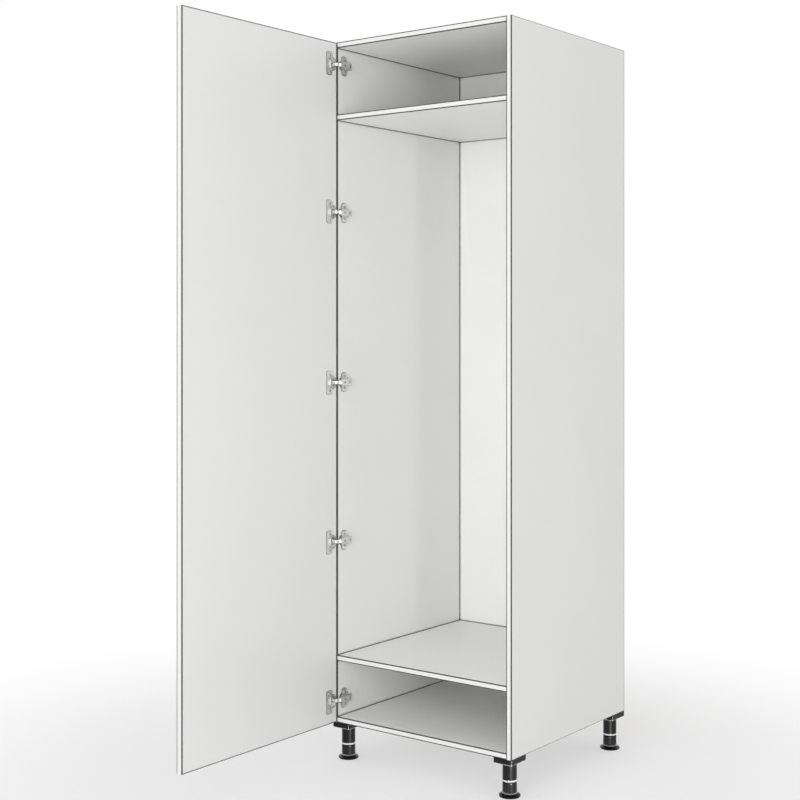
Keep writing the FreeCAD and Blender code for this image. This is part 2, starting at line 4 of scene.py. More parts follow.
import bmesh
import bpy
from bpy.props import FloatProperty, FloatVectorProperty, IntProperty, PointerProperty
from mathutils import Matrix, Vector

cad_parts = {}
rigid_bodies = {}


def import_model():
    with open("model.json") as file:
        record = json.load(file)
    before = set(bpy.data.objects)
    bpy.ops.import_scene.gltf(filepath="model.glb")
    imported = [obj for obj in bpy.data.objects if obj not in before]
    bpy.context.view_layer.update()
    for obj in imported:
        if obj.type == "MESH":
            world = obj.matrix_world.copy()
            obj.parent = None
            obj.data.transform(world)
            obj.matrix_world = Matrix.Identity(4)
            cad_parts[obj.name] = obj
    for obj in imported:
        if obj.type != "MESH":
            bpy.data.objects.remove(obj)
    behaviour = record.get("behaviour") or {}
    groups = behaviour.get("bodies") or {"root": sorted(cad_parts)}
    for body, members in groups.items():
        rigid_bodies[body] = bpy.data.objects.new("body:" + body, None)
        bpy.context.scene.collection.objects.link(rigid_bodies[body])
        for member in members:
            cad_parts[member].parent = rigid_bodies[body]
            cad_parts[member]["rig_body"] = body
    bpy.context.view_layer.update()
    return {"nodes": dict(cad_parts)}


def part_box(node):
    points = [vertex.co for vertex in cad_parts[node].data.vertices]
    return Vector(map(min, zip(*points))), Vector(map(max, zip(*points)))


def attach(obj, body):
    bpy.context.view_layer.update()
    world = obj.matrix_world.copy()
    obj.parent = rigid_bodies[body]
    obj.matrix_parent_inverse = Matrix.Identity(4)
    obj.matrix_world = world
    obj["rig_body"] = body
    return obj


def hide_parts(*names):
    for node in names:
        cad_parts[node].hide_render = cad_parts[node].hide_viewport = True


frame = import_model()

bl_info = {
    "name": "Tall Fridge Housing Cabinet",
    "version": (1, 0, 0),
    "blender": (4, 5, 0),
    "location": "3D View > Sidebar > Cabinet",
    "description": "Finishes and fittings of a tall cabinet for a built-in refrigerator",
    "category": "Object",
}

NODES = frame["nodes"]

MM = 0.001
AXIS_X = Vector((1.0, 0.0, 0.0))
AXIS_Y = Vector((0.0, 1.0, 0.0))
AXIS_Z = Vector((0.0, 0.0, 1.0))
ORIGIN = (0.0, 0.0, 0.0)
WHITE = (1.0, 1.0, 1.0, 1.0)

# Points nearer to each other than MERGE are one point, and points nearer to a cut than CUT lie on it.
MERGE = 0.002 * MM
CUT = 0.0001 * MM

# Turns between two faces: below COPLANAR they are one face, over CORNER their edge is rounded, and
# over a crease the edge looks sharp.
COPLANAR = math.radians(0.6)
CORNER = math.radians(60)
CREASE = math.radians(40)
BOARD_CREASE = math.radians(10)

# Edges shorter than these stay sharp: the rims of bored holes, and edges too short to be rounded.
BOARD_SHORTEST = 10.0 * MM
CUP_SHORTEST = 0.9 * MM
ARM_SHORTEST = 3.0 * MM
PLATE_SHORTEST = 1.5 * MM

# Edges that end this near to an end face of a foot's piece belong to that face.
END_MARGIN = 1.0 * MM
# Plain stem between the flared base and the thread.
STEM_ROOT = 0.5 * MM
# Margin of a corner plate next to the board, which gets neither pale scuffs nor painted highlights.
UNMARKED_TOP = 3.0 * MM
RING_STEPS = 64

# Values between which a mask goes from none to full.
NOISE_SPAN = (0.3, 0.7)
SMEAR_SPAN = (0.55, 0.75)
# The next two spans turn ambient occlusion into painted shade: a soft mask and a firm line.
SHADE_SPAN = (0.85, 0.35)
SHADE_LINE_SPAN = (0.80, 0.60)
WEAR_SPAN = (0.98, 0.75)
ARRIS_SPAN = (0.995, 0.955)
FLAT_FACE = (0.94, 0.97)
CUT_EDGE = (0.3, 0.2)
BAND_FRONT = (0.96, 0.985)
DOOR_RIM = (0.27, 0.17)
LINE_BLUR = 0.3 * MM

# Scales of patterns in waves to the metre, those of scratches along X, Y and Z.
CHIPS = 420.0
CHIP_FIBRES = 1400.0
BOARD_FIBRES = 260.0
SCRAPED_UPRIGHT = Vector((2500.0, 2500.0, 8.0))
SCRAPED_LEVEL = Vector((8.0, 2500.0, 2500.0))
PRESSED = Vector((2500.0, 300.0, 2500.0))
TUMBLED = Vector((1500.0, 1500.0, 1500.0))
GRAIN_LEVEL = Vector((60.0, 900.0, 900.0))
# Wire imprint behind the hardboard, in radians to the metre.
WIRES = 3100.0

# Depth of chips and wires, in dimples of the coat on the same board.
CHIP_DEPTH = 8.0
WIRE_DEPTH = 3.0

# Collars and bases of the feet get their pale scuffs, partly rubbing and partly painted highlight, so
# many times fainter than their corner plates.
SCUFF_AND_HIGHLIGHT_FADE = 12

# Sensor in millimetres; floor, and distances between which its shadow fades, in metres.
SENSOR_WIDTH = 36.0
FLOOR_WIDTH = 30.0
SHADOW_FADE = (0.6, 2.0)

SIDES = ("left_side_panel", "right_side_panel")
CROSS_PANELS = ("top_panel", "upper_shelf", "lower_shelf", "bottom_panel")
SIDE_BANDS = ("left_side_edge_band", "right_side_edge_band")
CROSS_BANDS = tuple(panel + "_edge_band" for panel in CROSS_PANELS)
STEEL_FASTENERS = (
    "hinge_pins",
    "cup_screws",
    "plate_screws",
    "arm_fixing_screws",
    "side_adjusting_screws",
    "foot_screws",
    "back_panel_screws",
    "cam_bolts",
)
HINGES = tuple(range(1, 1 + sum(name.startswith("hinge_cup_") for name in NODES)))
FEET = tuple(name[len("foot_base_"):] for name in sorted(NODES) if name.startswith("foot_base_"))


class Wiring:
    """Adds shader nodes to one tree and joins them."""

    def __init__(self, tree):
        self.tree = tree

    def feed(self, socket, source):
        """Join a socket to another node's output, or set its value."""
        if isinstance(source, bpy.types.NodeSocket):
            self.tree.links.new(source, socket)
        else:
            socket.default_value = source

    def node(self, kind, feeds=None, **settings):
        """A new node; feeds are keyed by the names or numbers of its inputs."""
        made = self.tree.nodes.new("ShaderNode" + kind)
        for name, value in settings.items():
            setattr(made, name, value)
        for key, source in (feeds or {}).items():
            self.feed(made.inputs[key], source)
        return made

    def object_place(self):
        """The place on the piece, in metres from the origin."""
        return self.node("TexCoord").outputs["Object"]

    def object_normal(self):
        """The way that the surface faces, as the piece stands at rest."""
        return self.node("TexCoord").outputs["Normal"]

    def math(self, operation, first, second=0.0):
        """One operation on two values."""
        return self.node("Math", {0: first, 1: second}, operation=operation).outputs[0]

    def vector(self, operation, feeds):
        """One operation on vectors that gives a vector."""
        return self.node("VectorMath", feeds, operation=operation).outputs["Vector"]

    def dot(self, first, second):
        """How far one vector goes along another."""
        feeds = {0: first, 1: second}
        return self.node("VectorMath", feeds, operation="DOT_PRODUCT").outputs["Value"]

    def parts(self, vector):
        """The X, Y and Z of a vector."""
        return self.node("SeparateXYZ", {0: vector}).outputs

    def eased(self, value, low, high, to_low=0.0, to_high=1.0):
        """Value mapped smoothly from low..high to to_low..to_high."""
        feeds = {
            "Value": value,
            "From Min": low,
            "From Max": high,
            "To Min": to_low,
            "To Max": to_high,
        }
        return self.node("MapRange", feeds, interpolation_type="SMOOTHSTEP").outputs["Result"]

    def between(self, share, low, high):
        """Low where share is zero, high where it is one."""
        return self.eased(share, 0.0, 1.0, low, high)

    def mixed(self, share, first, second):
        """The first colour where share is zero, the second where it is one."""
        feeds = {0: share, 6: first, 7: second}
        return self.node("Mix", feeds, data_type="RGBA").outputs[2]

    def noise(self, place, scale, detail=2.0, roughness=0.5):
        """A noise pattern with scale waves to the metre."""
        feeds = {"Vector": place, "Scale": scale, "Detail": detail, "Roughness": roughness}
        return self.node("TexNoise", feeds).outputs[0]

    def bumped(self, height, depth):
        """Surface normal raised by height, whose full step is depth in metres."""
        feeds = {"Height": height, "Distance": depth, "Strength": 1.0}
        return self.node("Bump", feeds).outputs["Normal"]

    def effect(self, name, **feeds):
        """Place a shared effect, built the first time it is asked for, and give its outputs."""
        made = self.tree.nodes.new("ShaderNodeGroup")
        made.node_tree = bpy.data.node_groups.get(name) or EFFECTS[name](name)
        for key, source in feeds.items():
            self.feed(made.inputs[key], source)
        return made.outputs


class Finish(Wiring):
    """A new material with its wiring and its Principled shader."""

    def __init__(self, name):
        self.material = bpy.data.materials.new(name)
        self.material.use_nodes = True
        super().__init__(self.material.node_tree)
        self.shader = self.tree.nodes["Principled BSDF"]

    def surface(self, sources):
        """Feed the shader's sockets, keyed by their names, and give the finished material."""
        for name, source in sources.items():
            self.feed(self.shader.inputs[name], source)
        return self.material


def new_effect(name, inputs, outputs):
    """An empty effect group with its named sockets: its wiring, inputs and outputs."""
    tree = bpy.data.node_groups.new(name, "ShaderNodeTree")
    for socket, kind in inputs.items():
        tree.interface.new_socket(socket, in_out="INPUT", socket_type="NodeSocket" + kind)
    for socket, kind in outputs.items():
        tree.interface.new_socket(socket, in_out="OUTPUT", socket_type="NodeSocket" + kind)
    entry = tree.nodes.new("NodeGroupInput")
    leave = tree.nodes.new("NodeGroupOutput")
    return Wiring(tree), entry.outputs, leave.inputs


def build_peel(name):
    """Dimples of a pressed or sprayed coat, Grain metres across."""
    inputs = {"Place": "Vector", "Grain": "Float"}
    wiring, given, made = new_effect(name, inputs, {"Height": "Float"})
    scale = wiring.math("DIVIDE", 1.0, given["Grain"])
    dimples = wiring.noise(given["Place"], scale, detail=1.0, roughness=0.4)
    wiring.feed(made["Height"], wiring.eased(dimples, *NOISE_SPAN))
    return wiring.tree


def build_clouding(name):
    """Broad unevenness of a finish, Span metres across, and the soft smears of handling."""
    inputs = {"Place": "Vector", "Span": "Float"}
    wiring, given, made = new_effect(name, inputs, {"Tone": "Float", "Smear": "Float"})
    scale = wiring.math("DIVIDE", 1.0, given["Span"])
    smear_scale = wiring.math("MULTIPLY", scale, 4.0)
    tone = wiring.noise(given["Place"], scale, detail=3.0)
    smear = wiring.noise(given["Place"], smear_scale, detail=4.0, roughness=0.6)
    wiring.feed(made["Tone"], wiring.eased(tone, *NOISE_SPAN))
    wiring.feed(made["Smear"], wiring.eased(smear, *SMEAR_SPAN))
    return wiring.tree


def build_chipboard(name):
    """Pressed wood chips of a raw board edge."""
    outputs = {"Color": "Color", "Height": "Float"}
    wiring, given, made = new_effect(name, {"Place": "Vector"}, outputs)
    dark_chip = (0.20, 0.11, 0.05, 1.0)
    pale_chip = (0.62, 0.44, 0.27, 1.0)
    feeds = {"Vector": given["Place"], "Scale": CHIPS, "Randomness": 1.0}
    chips = wiring.node("TexVoronoi", feeds).outputs["Color"]
    shade = wiring.node("SeparateColor", {0: chips}).outputs[0]
    fibres = wiring.noise(given["Place"], CHIP_FIBRES)
    tone = wiring.math("MULTIPLY", shade, fibres)
    wiring.feed(made["Color"], wiring.mixed(tone, dark_chip, pale_chip))
    wiring.feed(made["Height"], tone)
    return wiring.tree


def build_brushing(name):
    """Fine scratches along one axis: Lines scales the place across and along them."""
    inputs = {"Place": "Vector", "Lines": "Vector"}
    wiring, given, made = new_effect(name, inputs, {"Scratch": "Float"})
    stretched = wiring.vector("MULTIPLY", {0: given["Place"], 1: given["Lines"]})
    scratch = wiring.noise(stretched, 1.0, detail=4.0, roughness=0.65)
    wiring.feed(made["Scratch"], scratch)
    return wiring.tree


def build_facing(name):
    """How squarely the surface faces along Axis: one on faces square to it, zero beside it."""
    wiring, given, made = new_effect(name, {"Axis": "Vector"}, {"Facing": "Float"})
    along = wiring.dot(wiring.object_normal(), given["Axis"])
    wiring.feed(made["Facing"], wiring.math("ABSOLUTE", along))
    return wiring.tree


def build_corner_shade(name):
    """Painted shade in the corners where pieces meet, from ambient occlusion Reach metres deep: a soft
    mask and a firm Line.
    """
    outputs = {"Grime": "Float", "Line": "Float"}
    wiring, given, made = new_effect(name, {"Reach": "Float"}, outputs)
    feeds = {"Distance": given["Reach"]}
    open_share = wiring.node("AmbientOcclusion", feeds, samples=6).outputs["AO"]
    wiring.feed(made["Grime"], wiring.eased(open_share, *SHADE_SPAN))
    wiring.feed(made["Line"], wiring.eased(open_share, *SHADE_LINE_SPAN))
    return wiring.tree


def build_edge_wear(name):
    """Masks along arrises, Reach metres wide: soft Wear and a firm Line."""
    outputs = {"Wear": "Float", "Line": "Float"}
    wiring, given, made = new_effect(name, {"Reach": "Float"}, outputs)
    rounded = wiring.node("Bevel", {"Radius": given["Reach"]}, samples=4).outputs[0]
    plain = wiring.node("NewGeometry").outputs["Normal"]
    same = wiring.dot(rounded, plain)
    wiring.feed(made["Wear"], wiring.eased(same, *WEAR_SPAN))
    wiring.feed(made["Line"], wiring.eased(same, *ARRIS_SPAN))
    return wiring.tree


EFFECTS = {
    "Peel": build_peel,
    "Clouding": build_clouding,
    "Chipboard": build_chipboard,
    "Brushing": build_brushing,
    "Facing": build_facing,
    "Grime": build_corner_shade,
    "Edge Wear": build_edge_wear,
}


def opaque(colour):
    """A colour with its alpha, as the nodes take it."""
    return (*colour, 1.0)


def shaded(colour, share):
    """A colour times share, with its alpha."""
    return (*(channel * share for channel in colour), 1.0)


def white_share(finish, facing, sizes):
    """Share of a board's white face: all of it where the face lies flat, none along its arrises, where
    the dark core shows, and none in the corners where pieces meet, where painted shade darkens it to
    the core colour."""
    arris = finish.effect("Edge Wear", Reach=sizes.arris_line)["Line"]
    # The joint mask is painted shade: ambient occlusion darkens the corners where pieces meet.
    joint = finish.effect("Grime", Reach=sizes.joint_shade_line)["Line"]
    unlined = finish.math("SUBTRACT", 1.0, finish.math("MAXIMUM", arris, joint))
    return finish.math("MULTIPLY", finish.eased(facing, *FLAT_FACE), unlined)


def melamine(name, scene, across):
    """White melamine-faced board: pearl texture on its faces, which lie square to across, the film's
    dark core along its arrises, painted shade in the corners where it meets other pieces, and raw
    chips on its cut edges."""
    colours = scene.cabinet_colours
    finish = Finish(name)
    place = finish.object_place()
    clouds = finish.effect("Clouding", Place=place, Span=0.5)
    pearl = finish.effect("Peel", Place=place, Grain=0.9 * MM)["Height"]
    chips = finish.effect("Chipboard", Place=place)
    facing = finish.effect("Facing", Axis=across)["Facing"]
    film = white_share(finish, facing, scene.cabinet_sizes)
    raw = finish.eased(facing, *CUT_EDGE)
    white = finish.mixed(clouds["Tone"], opaque(colours.board), shaded(colours.board, 0.975))
    cut = finish.mixed(raw, opaque(colours.core), chips["Color"])
    film_rough = finish.between(clouds["Smear"], 0.40, 0.48)
    cut_rough = finish.between(film, 0.85, 0.0)
    chip_height = finish.math("MULTIPLY", chips["Height"], finish.math("MULTIPLY", raw, CHIP_DEPTH))
    height = finish.math("ADD", pearl, chip_height)
    return finish.surface({
        "Base Color": finish.mixed(film, cut, white),
        "Roughness": finish.math("MAXIMUM", film_rough, cut_rough),
        "Normal": finish.bumped(height, 0.03 * MM),
    })


def lacquer(scene):
    """Sprayed door lacquer: smoother than the board, with a faint orange peel, rubbed through to the
    dark core on its arrises, and darkened by painted shade where it meets other pieces."""
    colours = scene.cabinet_colours
    finish = Finish("white door lacquer")
    place = finish.object_place()
    clouds = finish.effect("Clouding", Place=place, Span=0.7)
    peel = finish.effect("Peel", Place=place, Grain=2.6 * MM)["Height"]
    facing = finish.effect("Facing", Axis=AXIS_X)["Facing"]
    coat = white_share(finish, facing, scene.cabinet_sizes)
    white = finish.mixed(clouds["Tone"], opaque(colours.door), shaded(colours.door, 0.98))
    return finish.surface({
        "Base Color": finish.mixed(coat, opaque(colours.core), white),
        "Roughness": finish.between(clouds["Smear"], 0.30, 0.38),
        "Normal": finish.bumped(peel, 0.02 * MM),
    })


def hardboard(scene):
    """White-faced hardboard: lacquered inside, with painted shade lines where it meets the boards, and
    bare brown fibre with a wire imprint behind."""
    colours = scene.cabinet_colours
    finish = Finish("white hardboard")
    place = finish.object_place()
    clouds = finish.effect("Clouding", Place=place, Span=0.22)
    peel = finish.effect("Peel", Place=place, Grain=1.5 * MM)["Height"]
    # Painted shade: ambient occlusion darkens the inner face where it meets the boards.
    joint = finish.effect("Grime", Reach=scene.cabinet_sizes.joint_shade_line)["Line"]
    rear = finish.math("GREATER_THAN", finish.parts(finish.object_normal())["Y"], -0.5)
    fibre = finish.noise(place, BOARD_FIBRES, detail=6.0, roughness=0.75)
    mottled = finish.math("MULTIPLY", fibre, finish.between(clouds["Tone"], 0.92, 1.08))
    bare = finish.mixed(mottled, shaded(colours.fibre, 0.45), shaded(colours.fibre, 1.5))
    white = finish.mixed(clouds["Tone"], opaque(colours.hardboard), shaded(colours.hardboard, 0.97))
    inner = finish.mixed(joint, white, opaque(colours.core))
    wire_phase = finish.vector("SCALE", {0: place, "Scale": WIRES})
    wires = finish.parts(finish.vector("SINE", {0: wire_phase}))
    imprint = finish.math("MULTIPLY", finish.math("MAXIMUM", wires["X"], wires["Z"]), rear)
    height = finish.math("ADD", peel, finish.math("MULTIPLY", imprint, WIRE_DEPTH))
    return finish.surface({
        "Base Color": finish.mixed(rear, inner, bare),
        "Roughness": finish.between(rear, 0.45, 0.75),
        "Normal": finish.bumped(height, 0.04 * MM),
    })


def edge_band(node, scene, lines, across, show):
    """Plastic edge band of a node, scraped along its length: show gives the share of its white
    face, and its dark core shows along its two long sides, which lie apart along across."""
    colours = scene.cabinet_colours
    finish = Finish("white " + node.replace("_", " "))
    place = finish.object_place()
    clouds = finish.effect("Clouding", Place=place, Span=0.3)
    scrape = finish.effect("Brushing", Place=place, Lines=lines)["Scratch"]
    low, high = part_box(node)
    middle = (high + low).dot(across) / 2
    reach = (high - low).dot(across) / 2 - scene.cabinet_sizes.band_line
    off_middle = finish.math("SUBTRACT", finish.dot(place, across), middle)
    inside = finish.eased(finish.math("ABSOLUTE", off_middle), reach, reach - LINE_BLUR)
    share = finish.math("MULTIPLY", show(finish), inside)
    white = finish.mixed(clouds["Tone"], opaque(colours.band), shaded(colours.band, 0.97))
    return finish.surface({
        "Base Color": finish.mixed(share, opaque(colours.core), white),
        "Roughness": finish.eased(scrape, *NOISE_SPAN, 0.30, 0.42),
        "Normal": finish.bumped(scrape, 0.01 * MM),
    })


def front_share(finish):
    """White front of a carcass band."""
    return finish.eased(finish.effect("Facing", Axis=AXIS_Y)["Facing"], *BAND_FRONT)


def rim_share(finish):
    """White rim of the door, away from its two faces."""
    return finish.eased(finish.effect("Facing", Axis=AXIS_X)["Facing"], *DOOR_RIM)


def plated(name, colour, rough, lines, edge):
    """Plated steel: fine scratches, duller patches, painted shade where pieces meet and tarnish along
    its sheared edges, edge metres wide."""
    finish = Finish(name)
    place = finish.object_place()
    scratch = finish.effect("Brushing", Place=place, Lines=lines)["Scratch"]
    clouds = finish.effect("Clouding", Place=place, Span=0.03)
    # Painted shade: ambient occlusion darkens the metal where pieces meet.
    metal_shade = finish.effect("Grime", Reach=1.2 * MM)["Grime"]
    tarnish = finish.effect("Edge Wear", Reach=edge)["Line"]
    shade_and_tarnish = finish.math("MAXIMUM", metal_shade, tarnish)
    bright = finish.mixed(clouds["Tone"], opaque(colour), shaded(colour, 0.9))
    swing = 0.07
    return finish.surface({
        "Base Color": finish.mixed(shade_and_tarnish, bright, shaded(colour, 0.12)),
        "Metallic": 1.0,
        "Roughness": finish.eased(scratch, *NOISE_SPAN, rough - swing, rough + swing),
        "Normal": finish.bumped(scratch, 0.02 * MM),
    })


def casting(colours):
    """Die-cast zinc: dull, with a pebbled skin."""
    finish = Finish("zinc casting")
    pebbles = finish.effect("Peel", Place=finish.object_place(), Grain=0.5 * MM)["Height"]
    return finish.surface({
        "Base Color": finish.mixed(pebbles, shaded(colours.zinc, 0.7), opaque(colours.zinc)),
        "Metallic": 1.0,
        "Roughness": finish.between(pebbles, 0.42, 0.58),
        "Normal": finish.bumped(pebbles, 0.05 * MM),
    })


def beech(colours):
    """Beech dowel: straight grain along X with short dark flecks."""
    finish = Finish("beech")
    grain = finish.effect("Brushing", Place=finish.object_place(), Lines=GRAIN_LEVEL)["Scratch"]
    return finish.surface({
        "Base Color": finish.mixed(grain, shaded(colours.beech, 0.6), opaque(colours.beech)),
        "Roughness": finish.between(grain, 0.55, 0.7),
        "Normal": finish.bumped(grain, 0.1 * MM),
    })


def black_plastic(name, colours, scuff_and_highlight, reach):
    """Moulded black plastic: fine spark texture, scuffed pale on its arrises within reach, a pale line
    that is partly rubbing and partly painted highlight, but not where the corner plate meets the
    board."""
    finish = Finish(name)
    place = finish.object_place()
    clouds = finish.effect("Clouding", Place=place, Span=0.04)
    spark = finish.effect("Peel", Place=place, Grain=0.35 * MM)["Height"]
    pale_edge_mask = finish.effect("Edge Wear", Reach=reach)["Wear"]
    marked_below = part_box("foot_socket_" + FEET[0])[1].z - UNMARKED_TOP
    open_part = finish.math("LESS_THAN", finish.parts(place)["Z"], marked_below)
    # Pale arrises: partly rubbing, partly a painted highlight along the edges.
    rubbed = finish.math("MULTIPLY", pale_edge_mask, open_part)
    black = finish.mixed(clouds["Tone"], opaque(colours.plastic), shaded(colours.plastic, 0.7))
    return finish.surface({
        "Base Color": finish.mixed(rubbed, black, opaque(scuff_and_highlight)),
        "Roughness": finish.between(clouds["Smear"], 0.28, 0.36),
        "Specular IOR Level": 0.14,
        "Normal": finish.bumped(spark, 0.02 * MM),
    })


def nylon(name, colours):
    """Natural nylon, waxy and slightly uneven."""
    finish = Finish(name)
    clouds = finish.effect("Clouding", Place=finish.object_place(), Span=0.02)
    return finish.surface({
        "Base Color": finish.mixed(clouds["Tone"], opaque(colours.nylon), shaded(colours.nylon, 0.92)),
        "Roughness": finish.between(clouds["Smear"], 0.36, 0.5),
        "Subsurface Weight": 0.2,
        "Subsurface Scale": 2.0 * MM,
    })


def dress(node, material):
    """Give a CAD node its finish in place of the plain one that it came with."""
    for slot in NODES[node].material_slots:
        slot.material = material


def joined_copy(node):
    """A CAD node's shape with its loose triangles joined and its flat faces made whole."""
    shape = bmesh.new()
    shape.from_mesh(NODES[node].data)
    bmesh.ops.remove_doubles(shape, verts=shape.verts[:], dist=MERGE)
    bmesh.ops.dissolve_limit(
        shape,
        angle_limit=COPLANAR,
        use_dissolve_boundaries=False,
        verts=shape.verts[:],
        edges=shape.edges[:],
        delimit=set(),
    )
    return shape


def round_corners(shape, radius, shortest=0.0, highest=math.inf):
    """Round the outer corners of a shape: its edges over shortest, below highest."""
    corners = [
        edge
        for edge in shape.edges
        if edge.is_convex
        and edge.calc_face_angle() > CORNER
        and edge.calc_length() > shortest
        and max(end.co.z for end in edge.verts) < highest
    ]
    bmesh.ops.bevel(
        shape,
        geom=corners,
        offset=radius,
        offset_type="OFFSET",
        affect="EDGES",
        segments=2,
        profile=0.5,
        material=-1,
        clamp_overlap=False,
    )
    bmesh.ops.remove_doubles(shape, verts=shape.verts[:], dist=MERGE)
    bmesh.ops.dissolve_degenerate(shape, dist=MERGE, edges=shape.edges[:])


def cut_level(shape, height, away):
    """Cut a shape level at a height, and take off what lies away from there."""
    bmesh.ops.bisect_plane(
        shape,
        geom=shape.verts[:] + shape.edges[:] + shape.faces[:],
        dist=CUT,
        plane_co=AXIS_Z * height,
        plane_no=away,
        clear_outer=True,
    )


def place_piece(name, shape, materials, body, crease=CREASE):
    """Turn a finished shape into a piece that moves with a body; it looks sharp where it turns by
    more than crease."""
    for face in shape.faces:
        face.smooth = True
    for edge in shape.edges:
        edge.smooth = edge.calc_face_angle(0.0) < crease
    mesh = bpy.data.meshes.new(name)
    shape.to_mesh(mesh)
    shape.free()
    cad_normals = mesh.attributes.get("custom_normal")
    if cad_normals:
        mesh.attributes.remove(cad_normals)
    for finish in materials:
        mesh.materials.append(finish)
    piece = bpy.data.objects.new(name, mesh)
    bpy.context.scene.collection.objects.link(piece)
    shading = piece.modifiers.new("even shading", "WEIGHTED_NORMAL")
    shading.keep_sharp = True
    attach(piece, body)
    return piece


def stand_in(name, node, shape, materials, crease=CREASE):
    """Turn a finished shape into the piece that stands for a CAD node."""
    piece = place_piece(name, shape, materials, NODES[node]["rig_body"], crease)
    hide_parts(node)


class CabinetColours(bpy.types.PropertyGroup):
    """Colours of the finishes"""

    board: FloatVectorProperty(
        name="Board",
        description="White of the melamine-faced boards",
        default=(0.875, 0.875, 0.865),
        subtype="COLOR",
    )
    door: FloatVectorProperty(
        name="Door",
        description="White of the door's lacquer",
        default=(0.875, 0.875, 0.87),
        subtype="COLOR",
    )
    band: FloatVectorProperty(
        name="Edge Band",
        description="White of the plastic edge bands",
        default=(0.86, 0.86, 0.85),
        subtype="COLOR",
    )
    # The core colour also paints the shade lines in the corners where pieces meet.
    core: FloatVectorProperty(
        name="Core",
        description="Dark core of boards, bands and door, bared along their arrises and joints",
        default=(0.03, 0.028, 0.026),
        subtype="COLOR",
    )
    hardboard: FloatVectorProperty(
        name="Hardboard",
        description="White of the back panel's inner face",
        default=(0.865, 0.865, 0.855),
        subtype="COLOR",
    )
    fibre: FloatVectorProperty(
        name="Fibre",
        description="Brown of the back panel's bare rear face",
        default=(0.30, 0.17, 0.085),
        subtype="COLOR",
    )
    nickel: FloatVectorProperty(
        name="Nickel",
        description="Plating of the hinges",
        default=(0.93, 0.925, 0.91),
        subtype="COLOR",
    )
    zinc: FloatVectorProperty(
        name="Zinc",
        description="Plating of the screws and bolts, and metal of the cams",
        default=(0.62, 0.64, 0.66),
        subtype="COLOR",
    )
    beech: FloatVectorProperty(
        name="Beech",
        description="Wood of the dowels",
        default=(0.60, 0.40, 0.23),
        subtype="COLOR",
    )
    plastic: FloatVectorProperty(
        name="Plastic",
        description="Black of the plinth feet",
        default=(0.003, 0.003, 0.0033),
        subtype="COLOR",
    )
    # Pale arris scuffs, partly rubbing and partly a painted highlight along the corner plates' edges.
    scuff_and_highlight: FloatVectorProperty(
        name="Scuff",
        description="Grey of the rubbed arrises of the feet's corner plates",
        default=(0.6, 0.6, 0.6),
        subtype="COLOR",
    )
    nylon: FloatVectorProperty(
        name="Nylon",
        description="Natural nylon of the feet's stems, slip rings and washers",
        default=(0.80, 0.79, 0.76),
        subtype="COLOR",
    )


